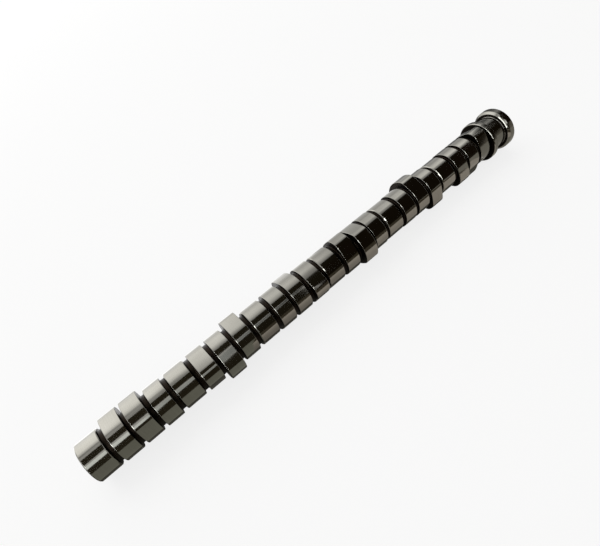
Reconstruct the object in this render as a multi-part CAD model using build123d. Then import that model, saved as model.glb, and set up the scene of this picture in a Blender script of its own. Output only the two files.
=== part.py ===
"""Camshaft of an in-line six-cylinder engine, lying at rest on a flat floor.

Units are millimetres.  +X runs along the shaft from its plain end to its flange,
+Z is up, and the origin is on the floor below the middle of the shaft.  The shaft
is one turned and ground bar of steel: bearing journals, three cam lobes for each
cylinder, a thrust collar and a drive flange.  Every function measures x from the
plain end along the shaft axis; the last step puts the shaft in its place.
"""
from build123d import *

import math
import os

os.makedirs("parts", exist_ok=True)

# ---- bearings
cylinders = 6
journal_d = 70.0
journal_w = 37.5
journal_chamfer = 1.5
bearing_pitch = 160.0        # one cylinder lies between two bearings

# ---- bar left between the ground surfaces
core_d = 60.0
core_fillet = 2.0            # root radius where the bar meets a wall

# ---- lobes: reach is the nose's height above the shaft axis, dwell is the angle
# that the nose spends at that height, phase is where its middle points at cylinder 1
lobe_w = 30.0
lobe_chamfer = 1.0
base_circle_d = 72.0
intake_reach = 43.6
intake_nose_r = 21.0
intake_dwell = 5.0
intake_flank_r = 130.0
intake_phase = 98.0
pump_reach = 44.9
pump_nose_r = 15.0
pump_dwell = 74.0
pump_flank_r = 110.0
pump_phase = 33.0
exhaust_reach = 43.9
exhaust_nose_r = 15.0
exhaust_dwell = 12.0
exhaust_flank_r = 130.0
exhaust_phase = 206.0
firing_order = [1, 5, 3, 6, 2, 4]

# ---- thrust collar and last bearing
collar_gap = 5.5             # bar between the last lobe and the collar
collar_d = 88.0
collar_w = 12.0
collar_chamfer = 1.2
last_bearing_w = 37.5        # from the collar to the flange
relief_w = 2.5               # grinding relief at both ends of that bearing
relief_depth = 0.8

# ---- drive flange
flange_d = 90.0
flange_w = 19.0
flange_bevel = 4.5           # wide bevel on the side of the bearings
flange_chamfer = 1.5
pilot_d = 36.0               # recess that centres the drive gear
pilot_depth = 8.0
pilot_chamfer = 1.0
bolt_count = 6
bolt_circle_d = 66.0
bolt_hole_d = 8.5            # tapping size for M10
bolt_hole_depth = 16.0
dowel_d = 8.0                # hole for the pin that times the gear
dowel_depth = 14.0
first_bolt_angle = 90.0      # from +Y towards +Z
dowel_angle = 120.0

# ---- centre hole in the plain end
centre_mouth_d = 12.0
centre_tip_d = 5.0
centre_tip_depth = 4.0
centre_half_angle = 30.0

# ---- roll of the shaft about its axis once it has settled on its lobes
rest_roll = 130.0

journal_r = journal_d / 2
core_r = core_d / 2
base_r = base_circle_d / 2
collar_r = collar_d / 2
flange_r = flange_d / 2
pilot_r = pilot_d / 2
relief_r = journal_r - relief_depth
lobe_core_r = (core_r + core_fillet + base_r - lobe_chamfer) / 2
firing_step = 360 / cylinders
gap = (bearing_pitch - journal_w - 3 * lobe_w) / 4
lobe_pitch = gap + lobe_w
collar_x = cylinders * bearing_pitch - gap + collar_gap
last_bearing_x = collar_x + collar_w
flange_x = last_bearing_x + last_bearing_w
length = flange_x + flange_w
axis_z = flange_r            # the flange's rim is the lowest point
proud = 1.0                  # how far a cutter stands out of the face it cuts


def polar(radius, angle, centre=(0, 0)):
    """The point at that radius and angle in degrees around the centre."""
    turn = math.radians(angle)
    return (centre[0] + radius * math.cos(turn), centre[1] + radius * math.sin(turn))


def bearing(start, end):
    """Direction in degrees from one point to another."""
    return math.degrees(math.atan2(end[1] - start[1], end[0] - start[0]))


def lobe_outline(reach, nose_r, dwell, flank_r):
    """Closed outline of a lobe in the XY plane, with its nose along +X.

    Each flank is one large arc that touches the base circle and the nose's corner.
    Its centre lies flank_r - base_r from the axis and flank_r - nose_r from the
    corner's centre, and the law of cosines gives the angle between the two.
    """
    corner_c = reach - nose_r
    to_axis = flank_r - base_r
    to_corner = flank_r - nose_r
    swing = math.degrees(math.acos(
        (corner_c**2 + to_axis**2 - to_corner**2) / (2 * corner_c * to_axis)))
    edges = []
    feet = []
    tips = []
    for side in (1, -1):
        aim = side * dwell / 2
        corner = polar(corner_c, aim)
        centre = polar(to_axis, aim - side * swing)
        foot = polar(base_r, aim - side * swing + 180)
        from_angle = bearing(centre, foot)
        to_angle = bearing(centre, corner)
        shoulder = polar(nose_r, to_angle, corner)
        tip = polar(reach, aim)
        turn = (to_angle - from_angle + 180) % 360 - 180
        edges.append(ThreePointArc(foot, polar(flank_r, from_angle + turn / 2, centre), shoulder))
        edges.append(ThreePointArc(shoulder, polar(nose_r, (to_angle + aim) / 2, corner), tip))
        feet.append(foot)
        tips.append(tip)
    edges.append(ThreePointArc(tips[0], (reach, 0), tips[1]))
    edges.append(ThreePointArc(feet[0], (-base_r, 0), feet[1]))
    return Face(Wire(edges))


def lobe(x, nose_angle, reach, nose_r, dwell, flank_r):
    """A lobe that starts at x, its nose at that angle from +Y towards +Z."""
    outline = lobe_outline(reach, nose_r, dwell, flank_r)
    body = extrude(outline, amount=lobe_w, dir=(0, 0, 1))
    rims = body.edges().filter_by(GeomType.CIRCLE).group_by(Axis.Z)
    body = chamfer(rims[0] + rims[-1], lobe_chamfer)
    on_shaft = Plane(origin=(x, 0, 0), x_dir=(0, 1, 0), z_dir=(1, 0, 0))
    return Rot(nose_angle, 0, 0) * on_shaft.from_local_coords(body)


def turned(points):
    """Solid of revolution about the shaft axis.

    A point is (x, radius), or (x, radius, middle x, middle radius) where an arc
    through that middle leads to it.
    """
    edges = []
    for start, end in zip(points, points[1:] + points[:1]):
        if len(end) == 4:
            edges.append(ThreePointArc(start[:2], end[2:], end[:2]))
        else:
            edges.append(Line(start[:2], end[:2]))
    return revolve(Face(Wire(edges)), axis=Axis.X)


def bar_between(x0, x1):
    """Profile of the plain bar between two walls, with a root radius at both."""
    top = core_r + core_fillet
    reach_in = core_fillet * (1 - math.sqrt(0.5))
    return [
        (x0, top),
        (x0 + core_fillet, core_r, x0 + reach_in, core_r + reach_in),
        (x1 - core_fillet, core_r),
        (x1, top, x1 - reach_in, core_r + reach_in),
    ]


def cylinder_profile(x):
    """Profile of one journal and the bar through its cylinder's three lobes."""
    end = x + journal_w
    points = [
        (x, journal_r - journal_chamfer), (x + journal_chamfer, journal_r),
        (end - journal_chamfer, journal_r), (end, journal_r - journal_chamfer),
    ]
    for k in range(3):
        start = end + k * lobe_pitch
        points += bar_between(start, start + gap)
        points += [(start + gap, lobe_core_r), (start + lobe_pitch, lobe_core_r)]
    return points


def collar_profile():
    """Profile of the thrust collar and the last bearing, with its two reliefs."""
    x0, x1, x2 = collar_x, last_bearing_x, flange_x
    return [
        (x0, collar_r - collar_chamfer), (x0 + collar_chamfer, collar_r),
        (x1 - collar_chamfer, collar_r), (x1, collar_r - collar_chamfer),
        (x1, relief_r), (x1 + relief_w, relief_r),
        (x1 + relief_w + relief_depth, journal_r), (x2 - relief_w - relief_depth, journal_r),
        (x2 - relief_w, relief_r), (x2, relief_r),
    ]


def flange_profile():
    """Profile of the drive flange."""
    return [
        (flange_x, flange_r - flange_bevel), (flange_x + flange_bevel, flange_r),
        (length - flange_chamfer, flange_r), (length, flange_r - flange_chamfer),
    ]


def blank():
    """The turned bar without its lobes."""
    points = [(0, 0)]
    for i in range(cylinders):
        x = i * bearing_pitch
        points += cylinder_profile(x)
        next_wall = x + bearing_pitch if i < cylinders - 1 else collar_x
        points += bar_between(x + bearing_pitch - gap, next_wall)
    points += collar_profile() + flange_profile() + [(length, 0)]
    return turned(points)


def lobes():
    """Intake, pump and exhaust lobe of each cylinder, turned by the firing order."""
    kinds = [
        (intake_phase, intake_reach, intake_nose_r, intake_dwell, intake_flank_r),
        (pump_phase, pump_reach, pump_nose_r, pump_dwell, pump_flank_r),
        (exhaust_phase, exhaust_reach, exhaust_nose_r, exhaust_dwell, exhaust_flank_r),
    ]
    found = []
    for i in range(cylinders):
        lag = firing_order.index(i + 1) * firing_step
        first = i * bearing_pitch + journal_w + gap
        for k, (phase, *shape) in enumerate(kinds):
            found.append(lobe(first + k * lobe_pitch, rest_roll - phase - lag, *shape))
    return found


def end_hole(diameter, depth, angle):
    """Cutter for a blind hole in the flange's face, on the bolt circle."""
    y, z = polar(bolt_circle_d / 2, angle)
    middle = length + (proud - depth) / 2
    return Pos(middle, y, z) * Rot(0, 90, 0) * Cylinder(diameter / 2, depth + proud)


def pilot_recess():
    """Cutter for the recess in the flange's face."""
    floor = length - pilot_depth
    mouth_r = pilot_r + pilot_chamfer
    return turned([
        (floor, 0), (floor, pilot_r), (length - pilot_chamfer, pilot_r),
        (length, mouth_r), (length + proud, mouth_r), (length + proud, 0),
    ])


def centre_hole():
    """Cutter for the centre hole in the plain end."""
    mouth_r = centre_mouth_d / 2
    tip_r = centre_tip_d / 2
    cone = (mouth_r - tip_r) / math.tan(math.radians(centre_half_angle))
    return turned([
        (-proud, 0), (-proud, mouth_r), (0, mouth_r), (cone, tip_r),
        (cone + centre_tip_depth, tip_r), (cone + centre_tip_depth, 0),
    ])


shaft = blank().fuse(*lobes())
shaft -= pilot_recess()
for k in range(bolt_count):
    shaft -= end_hole(bolt_hole_d, bolt_hole_depth, first_bolt_angle + k * 360 / bolt_count)
shaft -= end_hole(dowel_d, dowel_depth, dowel_angle)
shaft -= centre_hole()
shaft = Pos(-length / 2, 0, axis_z) * shaft.solid()
shaft.label = "camshaft"
export_step(shaft, "parts/camshaft.step")
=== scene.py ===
# %% [markdown]
# # A camshaft in polished steel
#
# The shaft is one bar of steel, a metre long. A lathe turns its journals, grooves, collar
# and flange, and a grinder finishes the journals and the lobes until they shine. Metal as
# smooth as this shows little of its own colour: the eye reads it by what it reflects. So
# the shape has to be clean, and what stands round the shaft matters as much as the steel.

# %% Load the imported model
import math

import bpy
from mathutils import Matrix, Vector


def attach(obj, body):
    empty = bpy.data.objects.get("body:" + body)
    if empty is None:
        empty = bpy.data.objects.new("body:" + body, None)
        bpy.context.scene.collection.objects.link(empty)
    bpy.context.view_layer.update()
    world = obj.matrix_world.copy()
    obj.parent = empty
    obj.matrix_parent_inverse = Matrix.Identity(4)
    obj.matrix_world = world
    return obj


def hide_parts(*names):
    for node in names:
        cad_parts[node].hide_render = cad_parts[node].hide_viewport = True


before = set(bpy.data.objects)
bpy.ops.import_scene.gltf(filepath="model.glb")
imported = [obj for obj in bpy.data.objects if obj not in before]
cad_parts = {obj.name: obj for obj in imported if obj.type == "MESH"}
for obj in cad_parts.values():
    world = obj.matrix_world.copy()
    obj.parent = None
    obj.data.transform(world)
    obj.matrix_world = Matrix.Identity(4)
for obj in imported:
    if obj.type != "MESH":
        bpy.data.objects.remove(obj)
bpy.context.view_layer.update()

# %% [markdown]
# ## Sizes along the shaft
#
# The sizes are those of the CAD part, in millimetres, so that the finer shape made here
# fills the same box. Everything is measured from the plain end along the shaft's axis,
# and one function turns such a place into Blender's metres, with the origin on the floor
# under the middle of the shaft.

# %% Sizes along the shaft
MM = 0.001
CYLINDERS = 6
PITCH = 160.0               # from one bearing to the next
JOURNAL_W = 37.5
LOBE_W = 30.0
COLLAR_GAP = 5.5            # from the last lobe to the collar
COLLAR_W = 12.0
LAST_BEARING_W = 37.5
FLANGE_W = 19.0

GAP = (PITCH - JOURNAL_W - 3 * LOBE_W) / 4
LOBE_PITCH = GAP + LOBE_W
COLLAR_X = CYLINDERS * PITCH - GAP + COLLAR_GAP
LAST_X = COLLAR_X + COLLAR_W
FLANGE_X = LAST_X + LAST_BEARING_W
LENGTH = FLANGE_X + FLANGE_W

# %% A place on the shaft
AXIS_Z = 45.0               # the flange's rim rests on the floor
AXIS = (0.0, 0.0, AXIS_Z * MM)


def place(x, y=0.0, z=0.0):
    """A point at x from the plain end, y and z from the shaft's axis."""
    return Vector(((x - LENGTH / 2) * MM, y * MM, (AXIS_Z + z) * MM))


print("middle of the plain end in metres:", [round(v, 4) for v in place(0.0)])

# %% [markdown]
# ## Working by hand, in code
#
# An operator works on everything that is selected, so each step starts with nothing
# selected but the object it means. A line of vertices is drawn the way one clicks it by
# hand: a plane is merged into one vertex, which is then extruded from point to point.
# Profile and lobe outlines are both drawn this way.

# %% Select, draw a line, apply a modifier
def pick(*objects):
    """Select these objects alone, the first of them active."""
    if bpy.context.mode != "OBJECT":
        bpy.ops.object.mode_set(mode="OBJECT")
    bpy.ops.object.select_all(action="DESELECT")
    for one in objects:
        one.select_set(True)
    bpy.context.view_layer.objects.active = objects[0]


def drawn_line(name, points):
    """An object whose vertices run through the points; it is left in edit mode."""
    bpy.ops.object.select_all(action="DESELECT")
    bpy.ops.mesh.primitive_plane_add(size=MM, location=(0, 0, 0))
    line = bpy.context.object
    line.name = name
    bpy.ops.object.mode_set(mode="EDIT")
    bpy.ops.mesh.select_mode(type="VERT")
    bpy.ops.mesh.select_all(action="SELECT")
    bpy.ops.mesh.merge(type="CENTER")
    bpy.ops.transform.translate(value=points[0])
    for last, point in zip(points, points[1:]):
        bpy.ops.mesh.extrude_vertices_move(TRANSFORM_OT_translate={"value": point - last})
    return line


def apply_modifier(thing, kind, **settings):
    """Add a modifier, set it and apply it."""
    pick(thing)
    modifier = thing.modifiers.new(kind.title(), kind)
    for key, value in settings.items():
        setattr(modifier, key, value)
    bpy.ops.object.modifier_apply(modifier=modifier.name)


# %% [markdown]
# ## The turned bar
#
# A lathe cuts one profile all the way round. The bar could be stacked from cylinders, but
# every step between them would need joining. Spin turns the whole profile into one closed
# skin, as the lathe does. The profile is a list of (x, radius). A groove has round roots,
# and corners are broken with a small chamfer whose own edges are softened, because a real
# edge is never sharp and its narrow round is what glints.

# %% Round roots in the grooves
CORE_R = 30.0
ROOT_R = 2.0
ROOT_STEPS = 4
INTO_LOBE = 1.2             # how far the bar dives into a lobe


def root(x, side):
    """Root radius at a wall at x; side is 1 where the groove lies after the wall."""
    points = []
    for step in range(ROOT_STEPS + 1):
        turn = math.radians(90.0 * step / ROOT_STEPS)
        along = ROOT_R * (1 - math.cos(turn))
        up = ROOT_R * (1 - math.sin(turn))
        points.append((x + side * along, CORE_R + up))
    return points if side > 0 else points[::-1]


def groove(x0, x1, wall0=True, wall1=True):
    """Groove between two walls. A wall of a lobe isn't turned: the bar dives into it."""
    deep_r = CORE_R + ROOT_R + INTO_LOBE / 2
    start = root(x0, 1)
    end = root(x1, -1)
    if not wall0:
        start = [(x0 - INTO_LOBE, deep_r)] + start[1:]
    if not wall1:
        end = end[:-1] + [(x1 + INTO_LOBE, deep_r)]
    return start + end


print("root at a wall:", [(round(x, 2), round(r, 2)) for x, r in root(0.0, 1)])

# %% Chamfers with softened edges
EDGE_SOFT = 0.25            # how far the softening reaches along the faces
BEVEL_SOFT = 0.5            # the same on the flange's wide bevel
SOFT_SHARE = 0.4            # part of the softening that lies on the chamfer itself


def rim(x, r, size, side, soft=EDGE_SOFT):
    """Chamfer with softened edges at radius r; side is 1 where the wall comes first."""
    inner = soft * SOFT_SHARE
    points = [
        (x, r - size - soft), (x + side * inner, r - size + inner),
        (x + side * (size - inner), r - inner), (x + side * (size + soft), r),
    ]
    return points if side > 0 else points[::-1]


print("chamfer of 1 mm:", [(round(x, 2), round(r, 2)) for x, r in rim(0.0, 10.0, 1.0, 1)])

# %% The plain end and its six bearings
JOURNAL_R = 35.0
JOURNAL_CHAMFER = 1.5
CENTRE_MOUTH_R = 6.0        # centre hole, which the grinding machine holds the shaft by
CENTRE_TIP_R = 2.5
CENTRE_CONE = 6.06          # depth of its cone, 30 degrees to the axis
CENTRE_TIP_DEPTH = 4.0


def centre_hole():
    """The centre hole, from its tip out to its mouth in the plain end."""
    tip_x = CENTRE_CONE + CENTRE_TIP_DEPTH
    return [
        (tip_x, 0.0), (tip_x, CENTRE_TIP_R), (CENTRE_CONE, CENTRE_TIP_R), (0.0, CENTRE_MOUTH_R),
    ]


def cylinder_part(i):
    """One bearing, and the bar through the three lobes of its cylinder."""
    x = i * PITCH
    end = x + JOURNAL_W
    points = rim(x, JOURNAL_R, JOURNAL_CHAMFER, 1) + rim(end, JOURNAL_R, JOURNAL_CHAMFER, -1)
    for k in range(4):
        start = end + k * LOBE_PITCH
        at_collar = i == CYLINDERS - 1 and k == 3
        stop = COLLAR_X if at_collar else start + GAP
        points += groove(start, stop, wall0=k == 0, wall1=k == 3)
    return points


print("points for one cylinder:", len(cylinder_part(0)))

# %% Collar, last bearing and flange
COLLAR_R = 44.0
COLLAR_CHAMFER = 1.2
RELIEF_W = 2.5              # groove that lets the grinding wheel run out
RELIEF_DEPTH = 0.8
RELIEF_SOFT = 0.5
FLANGE_R = 45.0
FLANGE_BEVEL = 4.5
FLANGE_CHAMFER = 1.5
PILOT_R = 18.0              # recess that centres the gear
PILOT_DEPTH = 8.0
PILOT_CHAMFER = 1.0


def last_bearing():
    """The bearing between collar and flange, with a grinding relief at both ends."""
    relief_r = JOURNAL_R - RELIEF_DEPTH
    relief_end = LAST_X + RELIEF_W
    start = [
        (LAST_X, relief_r + RELIEF_SOFT), (LAST_X + RELIEF_SOFT, relief_r),
        (relief_end, relief_r), (relief_end + RELIEF_DEPTH, JOURNAL_R),
    ]
    return start + [(LAST_X + FLANGE_X - x, r) for x, r in reversed(start)]


def flange():
    """The flange, its outer face and the recess in that face."""
    floor_x = LENGTH - PILOT_DEPTH
    points = rim(FLANGE_X, FLANGE_R, FLANGE_BEVEL, 1, BEVEL_SOFT)
    points += rim(LENGTH, FLANGE_R, FLANGE_CHAMFER, -1)
    points += [(LENGTH, PILOT_R + PILOT_CHAMFER), (LENGTH - PILOT_CHAMFER, PILOT_R)]
    return points + [(floor_x, PILOT_R), (floor_x, 0.0)]


profile = centre_hole()
for cylinder in range(CYLINDERS):
    profile += cylinder_part(cylinder)
profile += rim(COLLAR_X, COLLAR_R, COLLAR_CHAMFER, 1) + rim(LAST_X, COLLAR_R, COLLAR_CHAMFER, -1)
profile += last_bearing() + flange()
print("points on the profile:", len(profile))

# %% Spin the profile
STEPS_AROUND = 144
MERGE_MM = 0.001

shaft = drawn_line("camshaft_steel", [place(x, 0.0, r) for x, r in profile])
bpy.ops.mesh.select_all(action="SELECT")
bpy.ops.mesh.spin(steps=STEPS_AROUND, angle=2 * math.pi, center=AXIS, axis=(1, 0, 0))
bpy.ops.mesh.select_all(action="SELECT")
bpy.ops.mesh.remove_doubles(threshold=MERGE_MM * MM)
bpy.ops.mesh.normals_make_consistent(inside=False)
bpy.ops.object.mode_set(mode="OBJECT")
print("bar:", len(shaft.data.polygons), "faces")

# %% [markdown]
# ## The lobes
#
# A lobe is a plate with a ground outline: part of the base circle, two long flanks and a
# nose. A stretched cylinder comes close, but its flanks would bulge wrongly and the bands
# of light on them would bend. So the outline is worked out from arcs that touch each
# other. It is drawn once for each of the three kinds, filled, extruded to the lobe's width
# and bevelled at both rims.

# %% Outline of a lobe
BASE_R = 36.0
ARC_STEPS = 14              # on a flank, and on the round of the nose
DWELL_STEP = 3.0            # degrees between points where the nose keeps its height
BASE_STEP = 0.045           # radians between points on the base circle


def arc(centre, radius, start, end, steps):
    """Points on an arc from one angle to another, without the last one."""
    turns = [start + (end - start) * i / steps for i in range(steps)]
    return [(centre[0] + radius * math.cos(t), centre[1] + radius * math.sin(t)) for t in turns]


def outline(reach, nose_r, dwell, flank_r):
    """Closed outline around the axis, nose along the first coordinate.

    A flank is one large arc that touches the base circle and the nose's round. The law
    of cosines gives the angle at the axis between the centres of these two arcs.
    """
    corner_c = reach - nose_r
    to_axis = flank_r - BASE_R
    to_corner = flank_r - nose_r
    swing = math.acos((corner_c**2 + to_axis**2 - to_corner**2) / (2 * corner_c * to_axis))
    aim = math.radians(dwell) / 2
    centre_turn = aim - swing
    centre = (to_axis * math.cos(centre_turn), to_axis * math.sin(centre_turn))
    corner = (corner_c * math.cos(aim), corner_c * math.sin(aim))
    shoulder_turn = math.atan2(corner[1] - centre[1], corner[0] - centre[0])
    foot_turn = centre_turn + math.pi
    half = arc((0, 0), reach, 0.0, aim, max(2, round(math.degrees(aim) / DWELL_STEP)))
    half += arc(corner, nose_r, aim, shoulder_turn, ARC_STEPS)
    half += arc(centre, flank_r, shoulder_turn, foot_turn, ARC_STEPS)
    half += arc((0, 0), BASE_R, foot_turn, math.pi, round((math.pi - foot_turn) / BASE_STEP))
    mirrored = [(a, -b) for a, b in half[:0:-1]]
    return half + [(-BASE_R, 0.0)] + mirrored


# For each kind: where its nose points at the first cylinder, and its outline.
KINDS = {
    "intake": (98.0, outline(reach=43.6, nose_r=21.0, dwell=5.0, flank_r=130.0)),
    "pump": (33.0, outline(reach=44.9, nose_r=15.0, dwell=74.0, flank_r=110.0)),
    "exhaust": (206.0, outline(reach=43.9, nose_r=15.0, dwell=12.0, flank_r=130.0)),
}
print("points on the outlines:", {kind: len(points) for kind, (_, points) in KINDS.items()})

# %% Model each kind of lobe
LOBE_CHAMFER = 1.0
WALL_TILT = 0.9             # a face is a wall where its normal's X part is over this


def lobe_blank(name, points):
    """A lobe with its nose up, standing with its first wall at x = 0 on the axis."""
    lobe = drawn_line(name, [Vector((0.0, b * MM, a * MM)) for a, b in points])
    bpy.ops.mesh.select_all(action="SELECT")
    bpy.ops.mesh.edge_face_add()
    bpy.ops.mesh.extrude_region_move(TRANSFORM_OT_translate={"value": (LOBE_W * MM, 0, 0)})
    bpy.ops.mesh.select_all(action="SELECT")
    bpy.ops.mesh.normals_make_consistent(inside=False)
    bpy.ops.mesh.select_all(action="DESELECT")
    bpy.ops.mesh.select_mode(type="FACE")
    bpy.ops.object.mode_set(mode="OBJECT")
    for face in lobe.data.polygons:
        face.select = abs(face.normal.x) > WALL_TILT
    bpy.ops.object.mode_set(mode="EDIT")
    bpy.ops.mesh.select_mode(type="EDGE")
    bpy.ops.mesh.bevel(offset=LOBE_CHAMFER * MM, segments=3, profile=0.5, affect="EDGES")
    bpy.ops.object.mode_set(mode="OBJECT")
    return lobe


blanks = {kind: lobe_blank(kind, points) for kind, (_, points) in KINDS.items()}
print("faces of each lobe:", {kind: len(lobe.data.polygons) for kind, lobe in blanks.items()})

# %% [markdown]
# ## Eighteen lobes on one bar
#
# The cylinders fire one after the other, a sixth of a turn apart, so each cylinder gets
# its own copies of the three lobes, turned back by its place in the firing order. On the
# real shaft lobes and bar are one piece. Left as they are, they would only poke into each
# other, so a union makes one skin of them and clears away the faces inside.

# %% Copy the lobes along the shaft
FIRING_ORDER = [1, 5, 3, 6, 2, 4]
FIRING_STEP = 360.0 / CYLINDERS
REST_ROLL = 130.0           # roll of the shaft once it has settled on its lobes
NOSE_UP = 90.0              # where the nose of a blank points, from +Y towards +Z

copies = []
for cylinder in range(CYLINDERS):
    lag = FIRING_ORDER.index(cylinder + 1) * FIRING_STEP
    for k, (kind, (phase, _)) in enumerate(KINDS.items()):
        pick(blanks[kind])
        bpy.ops.object.duplicate(linked=False)
        lobe = bpy.context.object
        lobe.location = place(cylinder * PITCH + JOURNAL_W + GAP + k * LOBE_PITCH)
        lobe.rotation_euler = (math.radians(REST_ROLL - phase - lag - NOSE_UP), 0, 0)
        copies.append(lobe)
print("lobes:", len(copies))

# %% Make bar and lobes one piece
pick(*copies)
bpy.ops.object.transform_apply(location=True, rotation=True, scale=True)
bpy.ops.object.join()
lobes = bpy.context.object
pick(*blanks.values())
bpy.ops.object.delete()
apply_modifier(shaft, "BOOLEAN", operation="UNION", solver="EXACT", object=lobes)
pick(lobes)
bpy.ops.object.delete()
print("bar with lobes:", len(shaft.data.polygons), "faces")

# %% [markdown]
# ## The holes in the flange
#
# Six tapped holes and one dowel hole open in the flange's face. Extruding them inwards
# would need a face of the right outline at each place, and the spun end face has none.
# So each is drilled: a cylinder is put there and taken away from the shaft.

# %% Drill the flange
BOLT_CIRCLE_R = 33.0
BOLT_COUNT = 6
FIRST_BOLT = 90.0
BOLT_R = 4.25               # tapping size for M10
BOLT_DEPTH = 16.0
DOWEL_ANGLE = 120.0
DOWEL_R = 4.0
DOWEL_DEPTH = 14.0
DRILL_SIDES = 48
PROUD = 1.0                 # how far a drill stands out of the face

holes = [(FIRST_BOLT + 360.0 / BOLT_COUNT * k, BOLT_R, BOLT_DEPTH) for k in range(BOLT_COUNT)]
drills = []
for angle, radius, depth in holes + [(DOWEL_ANGLE, DOWEL_R, DOWEL_DEPTH)]:
    turn = math.radians(angle)
    middle = LENGTH + PROUD - (depth + PROUD) / 2
    where = place(middle, BOLT_CIRCLE_R * math.cos(turn), BOLT_CIRCLE_R * math.sin(turn))
    bpy.ops.object.select_all(action="DESELECT")
    bpy.ops.mesh.primitive_cylinder_add(
        vertices=DRILL_SIDES, radius=radius * MM, depth=(depth + PROUD) * MM,
        location=where, rotation=(0, math.pi / 2, 0))
    drills.append(bpy.context.object)
pick(*drills)
bpy.ops.object.join()
bpy.ops.object.transform_apply(location=True, rotation=True, scale=True)
drill = bpy.context.object
apply_modifier(shaft, "BOOLEAN", operation="DIFFERENCE", solver="EXACT", object=drill)
pick(drill)
bpy.ops.object.delete()
print("shaft with holes:", len(shaft.data.polygons), "faces")

# %% [markdown]
# ## Clean shading
#
# Flat faces would show in every reflection. The round surfaces are shaded smooth, while
# an edge steeper than a soft corner stays sharp. The union left long thin faces beside
# large ones, which pull the smoothed normals askew. Weighting the normals by face area
# keeps the walls flat and the bands of light straight.

# %% Smooth the round faces
SHARP_FROM = 32.0           # degrees between two faces

pick(shaft)
bpy.ops.object.transform_apply(location=True, rotation=True, scale=True)
bpy.ops.object.shade_smooth_by_angle(angle=math.radians(SHARP_FROM))
apply_modifier(shaft, "WEIGHTED_NORMAL", mode="FACE_AREA", weight=50, keep_sharp=True)
print("sharp edges:", sum(edge.use_edge_sharp for edge in shaft.data.edges))

# %% [markdown]
# ## Finishes
#
# The shaft has one steel and three finishes. Journals, lobes, collar and flange rim are
# ground and polished: a wheel that fine leaves rings well under a hundredth of a
# millimetre deep, which stretch each reflection a little. The grooves and the walls beside
# the lobes were hardened and never ground, and oil and heat left a dark brown-black skin
# that hardly shines. The two end faces come straight from the lathe, with rings round the
# axis and a softer shine. Real rings lie a twentieth to a fifth of a millimetre apart,
# far too fine to show, so they are drawn about a millimetre apart. Noise stretched round
# the shaft gives rings without an image, and it looks right from every side.

# %% Node and colour helpers
def node(tree, kind, values=None, links=None, **settings):
    """Add a node, set its properties and sockets, and link its inputs."""
    made = tree.nodes.new(kind)
    for key, value in settings.items():
        setattr(made, key, value)
    for key, value in (values or {}).items():
        made.inputs[key].default_value = value
    for key, output in (links or {}).items():
        tree.links.new(output, made.inputs[key])
    return made


def linear(code):
    """An sRGB hex colour as Blender's linear numbers."""
    parts = [int(code[i:i + 2], 16) / 255 for i in (1, 3, 5)]
    parts = [v / 12.92 if v <= 0.04045 else ((v + 0.055) / 1.055) ** 2.4 for v in parts]
    return (*parts, 1.0)


print("#808080 in linear numbers:", [round(v, 3) for v in linear("#808080")[:3]])

# %% Where the tool marks run
ROUND_STRETCH = 0.01        # noise changes this much slower round the shaft than along it


def marks_round(tree, where):
    """Place for rings on the running surfaces: it changes along X."""
    return node(tree, "ShaderNodeMapping", {"Scale": (1.0, ROUND_STRETCH, ROUND_STRETCH)},
                {"Vector": where})


def marks_on_faces(tree, where):
    """Place for rings on an end face: it changes with the distance from the axis."""
    centred = node(tree, "ShaderNodeMapping", {"Location": (0.0, 0.0, -AXIS_Z * MM)},
                   {"Vector": where})
    flat = node(tree, "ShaderNodeVectorMath", {1: (0.0, 1.0, 1.0)},
                {0: centred.outputs["Vector"]}, operation="MULTIPLY")
    radius = node(tree, "ShaderNodeVectorMath", links={0: flat.outputs["Vector"]},
                  operation="LENGTH")
    return node(tree, "ShaderNodeCombineXYZ", links={"X": radius.outputs["Value"]})


print("rings are longer than wide by", round(1 / ROUND_STRETCH), "to 1")

# %% Steel with tool marks
PATCH_MM = 45.0             # size of the slow changes of tone, as handling leaves them
NOISE_LOW, NOISE_HIGH = 0.7, 1.3    # between these lies nearly all of two noises' sum


def steel(name, dark, light, rough, ring_mm, ring_depth_mm, marks_in=marks_round):
    """Metal with tool marks about ring_mm apart and a tone that changes slowly."""
    material = bpy.data.materials.new(name)
    material.use_nodes = True
    tree = material.node_tree
    shader = tree.nodes["Principled BSDF"]
    shader.inputs["Metallic"].default_value = 1.0
    where = node(tree, "ShaderNodeTexCoord").outputs["Object"]
    marks = marks_in(tree, where)
    rings = node(tree, "ShaderNodeTexNoise",
                 {"Scale": 1 / (ring_mm * MM), "Detail": 3.0, "Roughness": 0.7},
                 {"Vector": marks.outputs["Vector"]})
    slow = node(tree, "ShaderNodeTexNoise",
                {"Scale": 1 / (PATCH_MM * MM), "Detail": 5.0, "Roughness": 0.6}, {"Vector": where})
    both = node(tree, "ShaderNodeMath", operation="ADD",
                links={0: rings.outputs["Fac"], 1: slow.outputs["Fac"]})
    share = node(tree, "ShaderNodeMapRange", {"From Min": NOISE_LOW, "From Max": NOISE_HIGH},
                 {"Value": both.outputs["Value"]})
    tone = node(tree, "ShaderNodeMix", {6: linear(dark), 7: linear(light)},
                {0: share.outputs["Result"]}, data_type="RGBA")
    gloss = node(tree, "ShaderNodeMapRange", {"To Min": rough[0], "To Max": rough[1]},
                 {"Value": share.outputs["Result"]})
    bump = node(tree, "ShaderNodeBump", {"Strength": 1.0, "Distance": ring_depth_mm * MM},
                {"Height": rings.outputs["Fac"]})
    tree.links.new(tone.outputs[2], shader.inputs["Base Color"])
    tree.links.new(gloss.outputs["Result"], shader.inputs["Roughness"])
    tree.links.new(bump.outputs["Normal"], shader.inputs["Normal"])
    return material


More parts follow.
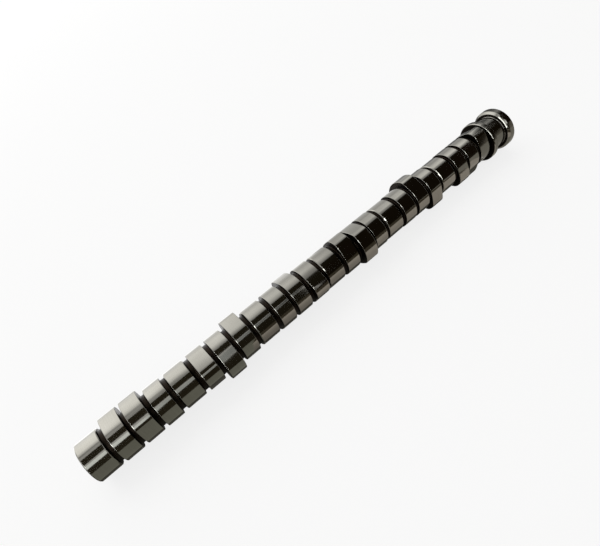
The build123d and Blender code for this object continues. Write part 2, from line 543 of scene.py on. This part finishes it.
# Ground steel: nearly a mirror, grey with a touch of yellow, rings too faint to be seen.
ground = steel("fine_ground_steel", "#85837c", "#918f88", (0.08, 0.12), 0.8, 0.0003)
# Hardened skin: a dark, dull oxide that swallows light, so the grooves read as black.
skin = steel("hardened_steel_skin", "#17130f", "#221c17", (0.34, 0.46), 1.2, 0.004)
# Turned steel: rings from the tool blur the reflection and take the white out of it.
turned = steel("turned_steel", "#77736d", "#86827b", (0.26, 0.34), 0.7, 0.002, marks_on_faces)
print("finishes:", [one.name for one in (ground, skin, turned)])

# %% [markdown]
# ## Which face has which finish
#
# The finish follows from how a face was made, and that can be told from where it lies.
# What the grinder reaches lies far from the axis and faces outwards. Walls face along the
# shaft. So three materials are given out by radius and tilt, with no painting by hand.

# %% Give each face its finish
GROUND, SKIN, TURNED = 0, 1, 2
GROOVE_R = 32.9             # every ground face lies further out than this
FACE_R = 40.0               # the flange's holes and recess lie inside this radius
FACE_DEPTH = 9.0            # and the recess is less deep than this
ON_END = 0.5                # a face this close to an end wall belongs to it


def finish_of(face):
    """Which finish a face has, by its place along the shaft, its radius and its tilt."""
    x = face.center.x / MM + LENGTH / 2
    r = math.hypot(face.center.y, face.center.z - AXIS_Z * MM) / MM
    wall = abs(face.normal.x) > WALL_TILT
    near_face = x > LENGTH - FACE_DEPTH
    if x < ON_END or near_face and (wall or r < FACE_R):
        return TURNED
    if x > FLANGE_X + ON_END:
        return GROUND
    return SKIN if wall or r < GROOVE_R else GROUND


areas = [0.0, 0.0, 0.0]
for material in (ground, skin, turned):
    shaft.data.materials.append(material)
for face in shaft.data.polygons:
    face.material_index = finish_of(face)
    areas[face.material_index] += face.area
print("ground, skin and turned in square cm:", [round(area * 1e4) for area in areas])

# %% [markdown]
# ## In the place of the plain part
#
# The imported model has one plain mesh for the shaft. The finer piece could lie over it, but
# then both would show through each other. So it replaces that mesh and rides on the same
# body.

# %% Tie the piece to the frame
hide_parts("camshaft")
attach(shaft, "root")
print("triangles:", sum(len(face.vertices) - 2 for face in shaft.data.polygons))

# %% [markdown]
# ## Floor
#
# The shaft lies on a sheet of white card that reaches far past the view. Where the steel
# is lit as it should be, card under the same lamps looks grey. More light would spoil the
# steel, so part of the card's white glows, and only for rays that come from the camera
# and from reflections. The rest of it is plain card under the lamps, which keeps the soft
# shadow beside the shaft.

# %% White card
CARD_GLOW = 0.8


def seen_rays(tree):
    """1 for a ray from the camera, a reflection or a clear material, and 0 for light."""
    path = node(tree, "ShaderNodeLightPath")
    seen = node(tree, "ShaderNodeMath", operation="ADD", links={
        0: path.outputs["Is Camera Ray"], 1: path.outputs["Is Glossy Ray"]})
    seen = node(tree, "ShaderNodeMath", operation="ADD", use_clamp=True, links={
        0: seen.outputs["Value"], 1: path.outputs["Is Transmission Ray"]})
    return seen.outputs["Value"]


card = bpy.data.materials.new("white_card")
card.use_nodes = True
tree = card.node_tree
# Card is matt: no shine, and the same white from every side.
shader = tree.nodes["Principled BSDF"]
shader.inputs["Base Color"].default_value = linear("#f8f8f7")
shader.inputs["Roughness"].default_value = 0.9
shader.inputs["Specular IOR Level"].default_value = 0.0
glow = node(tree, "ShaderNodeMath", {1: CARD_GLOW}, {0: seen_rays(tree)}, operation="MULTIPLY")
white = node(tree, "ShaderNodeEmission", {"Color": (1, 1, 1, 1), "Strength": 1.0})
mixed = node(tree, "ShaderNodeMixShader", links={
    0: glow.outputs["Value"], 1: shader.outputs["BSDF"], 2: white.outputs["Emission"]})
tree.links.new(mixed.outputs["Shader"], tree.nodes["Material Output"].inputs["Surface"])
print("card:", len(tree.nodes), "nodes")

# %% Floor
FLOOR_SIZE = 40.0

bpy.ops.object.select_all(action="DESELECT")
bpy.ops.mesh.primitive_plane_add(size=FLOOR_SIZE, location=(0, 0, 0))
floor = bpy.context.object
floor.name = "studio_floor"
floor.data.materials.append(card)
print("floor in metres:", [round(v, 1) for v in floor.dimensions])

# %% [markdown]
# ## Camera
#
# The camera stands over the near half of the shaft, half a metre in front of it, and
# looks down and along it with a fairly wide lens. So the near journal looks thicker than
# the flange, though the flange is the wider of the two. A constraint could aim a camera
# at a point, but this one also leans a little. So its right and forward directions are
# given, and up follows from them.

# %% Camera
CAMERA_AT = Vector((-0.32237, -0.50900, 0.65161))
CAMERA_RIGHT = Vector((0.73735, -0.63337, -0.23486)).normalized()
CAMERA_FORWARD = Vector((0.31571, 0.63048, -0.70910)).normalized()
LENS_MM = 27.36
SENSOR_MM = 36.0

camera_up = CAMERA_RIGHT.cross(CAMERA_FORWARD)
camera = bpy.data.objects.new("camera", bpy.data.cameras.new("camera"))
bpy.context.scene.collection.objects.link(camera)
camera.matrix_world = Matrix.Translation(CAMERA_AT) @ Matrix(
    (CAMERA_RIGHT, camera_up, -CAMERA_FORWARD)).transposed().to_4x4()
camera.data.lens = LENS_MM
camera.data.sensor_width = SENSOR_MM
bpy.context.scene.camera = camera
print("field of view in degrees:", round(math.degrees(camera.data.angle), 1))

# %% [markdown]
# ## Lamps and world
#
# A pale room gives an even fill, and two wide softboxes hang above and behind the shaft.
# The strong one spans the shaft and the weak one carries on past the flange, so the light
# falls off gently. They light the floor and cast the shaft's soft shadow on it. Steel
# shows nothing but reflections and would show a lamp as a hard bright bar, so reflections
# don't see the lamps: the boards of the next step stand in for them.

# %% World
WORLD_FILL = 0.5            # light on the floor; the camera and reflections see 1

bpy.context.scene.view_settings.view_transform = "Standard"
world = bpy.data.worlds.new("studio_world")
bpy.context.scene.world = world
world.use_nodes = True
tree = world.node_tree
background = tree.nodes["Background"]
level = node(tree, "ShaderNodeMapRange", {"To Min": WORLD_FILL, "To Max": 1.0},
             {"Value": seen_rays(tree)})
tree.links.new(level.outputs["Result"], background.inputs["Strength"])
background.inputs["Color"].default_value = (1, 1, 1, 1)
print("world:", world.name)

# %% Softboxes
LAMP_DISTANCE = 5.2


def around(elevation, distance, x):
    """A point round the shaft: elevation 0 is level towards the camera, 90 straight up."""
    turn = math.radians(elevation)
    return Vector((x, -distance * math.cos(turn), AXIS_Z * MM + distance * math.sin(turn)))


def softbox(name, low, high, x0, x1, radiance):
    """Area lamp that fills the elevations low to high and reaches from x0 to x1."""
    data = bpy.data.lights.new(name, "AREA")
    data.shape = "RECTANGLE"
    data.size = x1 - x0
    data.size_y = 2 * LAMP_DISTANCE * math.tan(math.radians(high - low) / 2)
    data.energy = radiance * data.size * data.size_y * math.pi
    lamp = bpy.data.objects.new(name, data)
    bpy.context.scene.collection.objects.link(lamp)
    middle = (x0 + x1) / 2
    lamp.location = around((low + high) / 2, LAMP_DISTANCE, middle)
    aim = Vector((middle, 0, AXIS_Z * MM)) - lamp.location
    lamp.rotation_euler = aim.to_track_quat("-Z", "Y").to_euler()
    lamp.visible_glossy = False
    print(name, "watts:", round(data.energy))


softbox("overhead_near", 106, 170, -4.5, 1.0, 1.5)
softbox("overhead_far", 106, 170, 1.0, 4.0, 0.5)

# %% [markdown]
# ## Boards
#
# In a studio, polished metal stands in a tent of boards, and each band of light or dark on
# it is the reflection of one of them. The same is done here. White boards above and behind
# make the pale top of every journal and lobe. Dark cloth over the camera makes the black
# band along the middle, and a white strip beside the camera draws the thin bright line
# through it. A very bright board far to the left glints in the chamfers. Cards on the
# floor give the lower side its dull grey. The card under the shaft and the near one in front
# of it are painted shade: they stand for the floor's shadow as the steel reflects it. A board
# is one quad that glows, with a level at each corner, so that a band fades along the shaft.
# Only reflections see it, so it lights nothing else.

# %% Board that only reflections see
def board(name, tint, corners, levels):
    """A glowing quad; the levels belong to the corners and blend between them."""
    sheet = drawn_line(name, corners)
    bpy.ops.mesh.select_all(action="SELECT")
    bpy.ops.mesh.edge_face_add()
    bpy.ops.object.mode_set(mode="OBJECT")
    glow = sheet.data.color_attributes.new(name="glow", type="FLOAT_COLOR", domain="POINT")
    for vertex, point in zip(sheet.data.vertices, glow.data):
        nearest = min(range(4), key=lambda k: (corners[k] - vertex.co).length)
        point.color = [levels[nearest] * channel for channel in linear(tint)[:3]] + [1.0]
    cloth = bpy.data.materials.new(name)
    cloth.use_nodes = True
    tree = cloth.node_tree
    colour = node(tree, "ShaderNodeAttribute", attribute_name="glow")
    light = node(tree, "ShaderNodeEmission", {"Strength": 1.0}, {"Color": colour.outputs["Color"]})
    tree.links.new(light.outputs["Emission"], tree.nodes["Material Output"].inputs["Surface"])
    sheet.data.materials.append(cloth)
    sheet.visible_camera = False
    sheet.visible_diffuse = False
    sheet.visible_transmission = False
    sheet.visible_shadow = False


# %% Boards along the shaft and on the floor
BOARD_DISTANCE = 2.2
EVEN = (1.0,) * 4
NEAR = (-1.3, -0.34)        # stretches of x in metres, which the boards share
MIDDLE = (-0.34, 0.9)
FAR = (0.9, 2.5)
END = (2.5, 5.0)


def panel(name, tint, xs, lows, highs, levels=EVEN):
    """Board along the shaft, from a low to a high elevation at both ends of xs.

    The levels run round it: low at the near end, low far, high far, high near.
    """
    near, far = xs
    board(name, tint, [
        around(lows[0], BOARD_DISTANCE, near), around(lows[1], BOARD_DISTANCE, far),
        around(highs[1], BOARD_DISTANCE, far), around(highs[0], BOARD_DISTANCE, near)], levels)


def on_floor(name, tint, ys, xs, z, levels=EVEN):
    """Board on the floor, between two lines along the shaft, one at each y.

    xs holds the near and far end of the first line, then those of the second. The levels
    run round it: near on the first line, far on it, far on the second, near on that.
    """
    board(name, tint, [
        Vector((xs[0], ys[0], z)), Vector((xs[1], ys[0], z)),
        Vector((xs[3], ys[1], z)), Vector((xs[2], ys[1], z))], levels)


print("stretches of x in metres:", NEAR, MIDDLE, FAR, END)

# %% White boards above and behind
WHITE = "#ffffff"
BEHIND_Y = (0.06, 3.0)

panel("near_line", WHITE, NEAR, (86, 86), (96, 97), (1.0, 0.5, 0.8, 1.0))
panel("near_gap", WHITE, NEAR, (96, 97), (105, 105), (0.5, 0.8, 1.3, 0.6))
panel("near_edge", WHITE, NEAR, (105, 105), (124, 124), (1.1, 1.4, 2.15, 2.5))
panel("near_body", WHITE, NEAR, (124, 124), (150, 150), (2.4, 2.15, 2.25, 2.7))
panel("near_back", WHITE, NEAR, (150, 150), (181, 181), (2.7, 2.25, 1.7, 2.2))
panel("middle_edge", WHITE, MIDDLE, (86, 86), (115, 115), (0.5, 0.4, 1.35, 2.0))
panel("middle_body", WHITE, MIDDLE, (115, 115), (150, 150), (2.0, 1.35, 1.0, 2.25))
panel("middle_back", WHITE, MIDDLE, (150, 150), (181, 181), (2.25, 1.0, 1.1, 1.7))
panel("far_edge", WHITE, FAR, (86, 95), (106, 112), (0.4, 0.4, 1.95, 1.15))
panel("far_body", WHITE, FAR, (106, 112), (150, 150), (1.2, 2.0, 0.8, 1.0))
panel("far_back", WHITE, FAR, (150, 150), (181, 181), (1.0, 0.8, 0.6, 1.1))
panel("end_edge", WHITE, END, (100, 100), (122, 122), (0.05, 0.05, 0.55, 0.55))
panel("end_body", WHITE, END, (122, 122), (145, 145), (0.55, 0.55, 0.22, 0.22))
panel("end_back", WHITE, END, (145, 145), (181, 181), (0.22, 0.22, 0.14, 0.14))
on_floor("floor_back_near", WHITE, BEHIND_Y, (-0.6, 0.0, -3.0, 1.2), 0.0015, (2.0, 1.4, 1.5, 2.0))
on_floor("floor_back_far", WHITE, BEHIND_Y, (0.25, 0.6, 2.2, 5.0), 0.001, (0.5, 0.12, 0.12, 0.6))

# %% Strip beside the camera, and the bright board that glints
COOL = "#f4f9fa"
STRIP_X = (-1.3, -0.62)
STRIP_END_X = (-0.62, 0.6)
GLINT_X = (-3.4, -1.7)
BEVEL_GLINT_X = (-1.7, -1.3)
GLINT_LOW, GLINT_HIGH = 34, 58
GLINT_INNER = 0.4           # the board at its end reaches in to here
GLINT = (9.0,) * 4
BEVEL_GLINT = (7.0,) * 4

panel("strip", COOL, STRIP_X, (31, 31), (47, 48), (1.9,) * 4)
panel("strip_end", COOL, STRIP_END_X, (36, 46), (50, 56), (1.1, 0.1, 0.1, 1.1))
panel("glint", COOL, GLINT_X, (GLINT_LOW, GLINT_LOW), (GLINT_HIGH, GLINT_HIGH), GLINT)
panel("bevel_glint", COOL, BEVEL_GLINT_X, (8, 8), (86, 86), BEVEL_GLINT)
board("glint_end", COOL, [
    around(GLINT_LOW, GLINT_INNER, GLINT_X[0]), around(GLINT_LOW, BOARD_DISTANCE, GLINT_X[0]),
    around(GLINT_HIGH, BOARD_DISTANCE, GLINT_X[0]), around(GLINT_HIGH, GLINT_INNER, GLINT_X[0]),
], GLINT)

# %% Dark cloth above and below the strip
NEAR_DARK = "#3c3629"
FAR_DARK = "#221b12"
FAR_GREY = "#8a857c"
BELOW = (-3, -3)            # these boards end just under the floor

panel("over_left", NEAR_DARK, GLINT_X, (GLINT_HIGH, GLINT_HIGH), (86, 86))
panel("over_near", NEAR_DARK, NEAR, (54, 57), (84, 85))
panel("over_middle", NEAR_DARK, MIDDLE, (55, 57), (85, 87), (1.0, 0.4, 0.4, 1.0))
panel("over_far", FAR_DARK, FAR, (57, 57), (87, 94))
panel("over_end", FAR_DARK, END, (57, 57), (100, 100))
panel("front_left", NEAR_DARK, GLINT_X, BELOW, (GLINT_LOW, GLINT_LOW))
panel("front_low", NEAR_DARK, BEVEL_GLINT_X, BELOW, (8, 8))
panel("front_strip", NEAR_DARK, STRIP_X, BELOW, (30, 31))
panel("front_middle", NEAR_DARK, STRIP_END_X, BELOW, (35, 45), (1.0, 0.5, 0.5, 1.0))
panel("front_far", FAR_DARK, (STRIP_END_X[1], FAR[1]), BELOW, (57, 57))
panel("front_end", FAR_DARK, END, (28, 28), (57, 57))
panel("front_end_low", FAR_GREY, END, BELOW, (28, 28))

# %% Cards on the floor
# They lie at slightly different heights, so that where two overlap the upper one is seen.
NEAR_SHADE_CARD = "#9c9c92"
MIDDLE_CARD = "#fff6ec"
FAR_CARD = "#595245"
UNDER_SHADE_CARD = "#5a5852"
END_CARD = "#a8a59d"

# Painted shade: this grey card stands for the floor's shadow in front of the near half, as the
# steel reflects it.
on_floor("floor_near_shade", NEAR_SHADE_CARD, (-0.045, -3.0), (-2.0, -0.21, -2.5, 0.3), 0.0015)
on_floor("floor_middle", MIDDLE_CARD, (-0.045, -0.2), (-0.21, 0.44, -0.21, 0.53), 0.0010,
         (0.3, 0.6, 0.75, 0.75))
on_floor("floor_far", FAR_CARD, (-0.20, -3.0), (-0.21, 4.0, 0.3, 5.0), 0.0012)
# Painted shade: this dark card under the shaft stands for the shadow beneath it, as the steel
# reflects it.
on_floor("floor_under_shade", UNDER_SHADE_CARD, (0.06, -0.045), (-2.0, 1.6, -2.0, 1.6), 0.0015)
on_floor("floor_end", END_CARD, (-0.02, -1.2), (0.44, 1.6, 0.9, 3.2), 0.0017)
print("boards and cards:", sum("glow" in mesh.color_attributes for mesh in bpy.data.meshes))
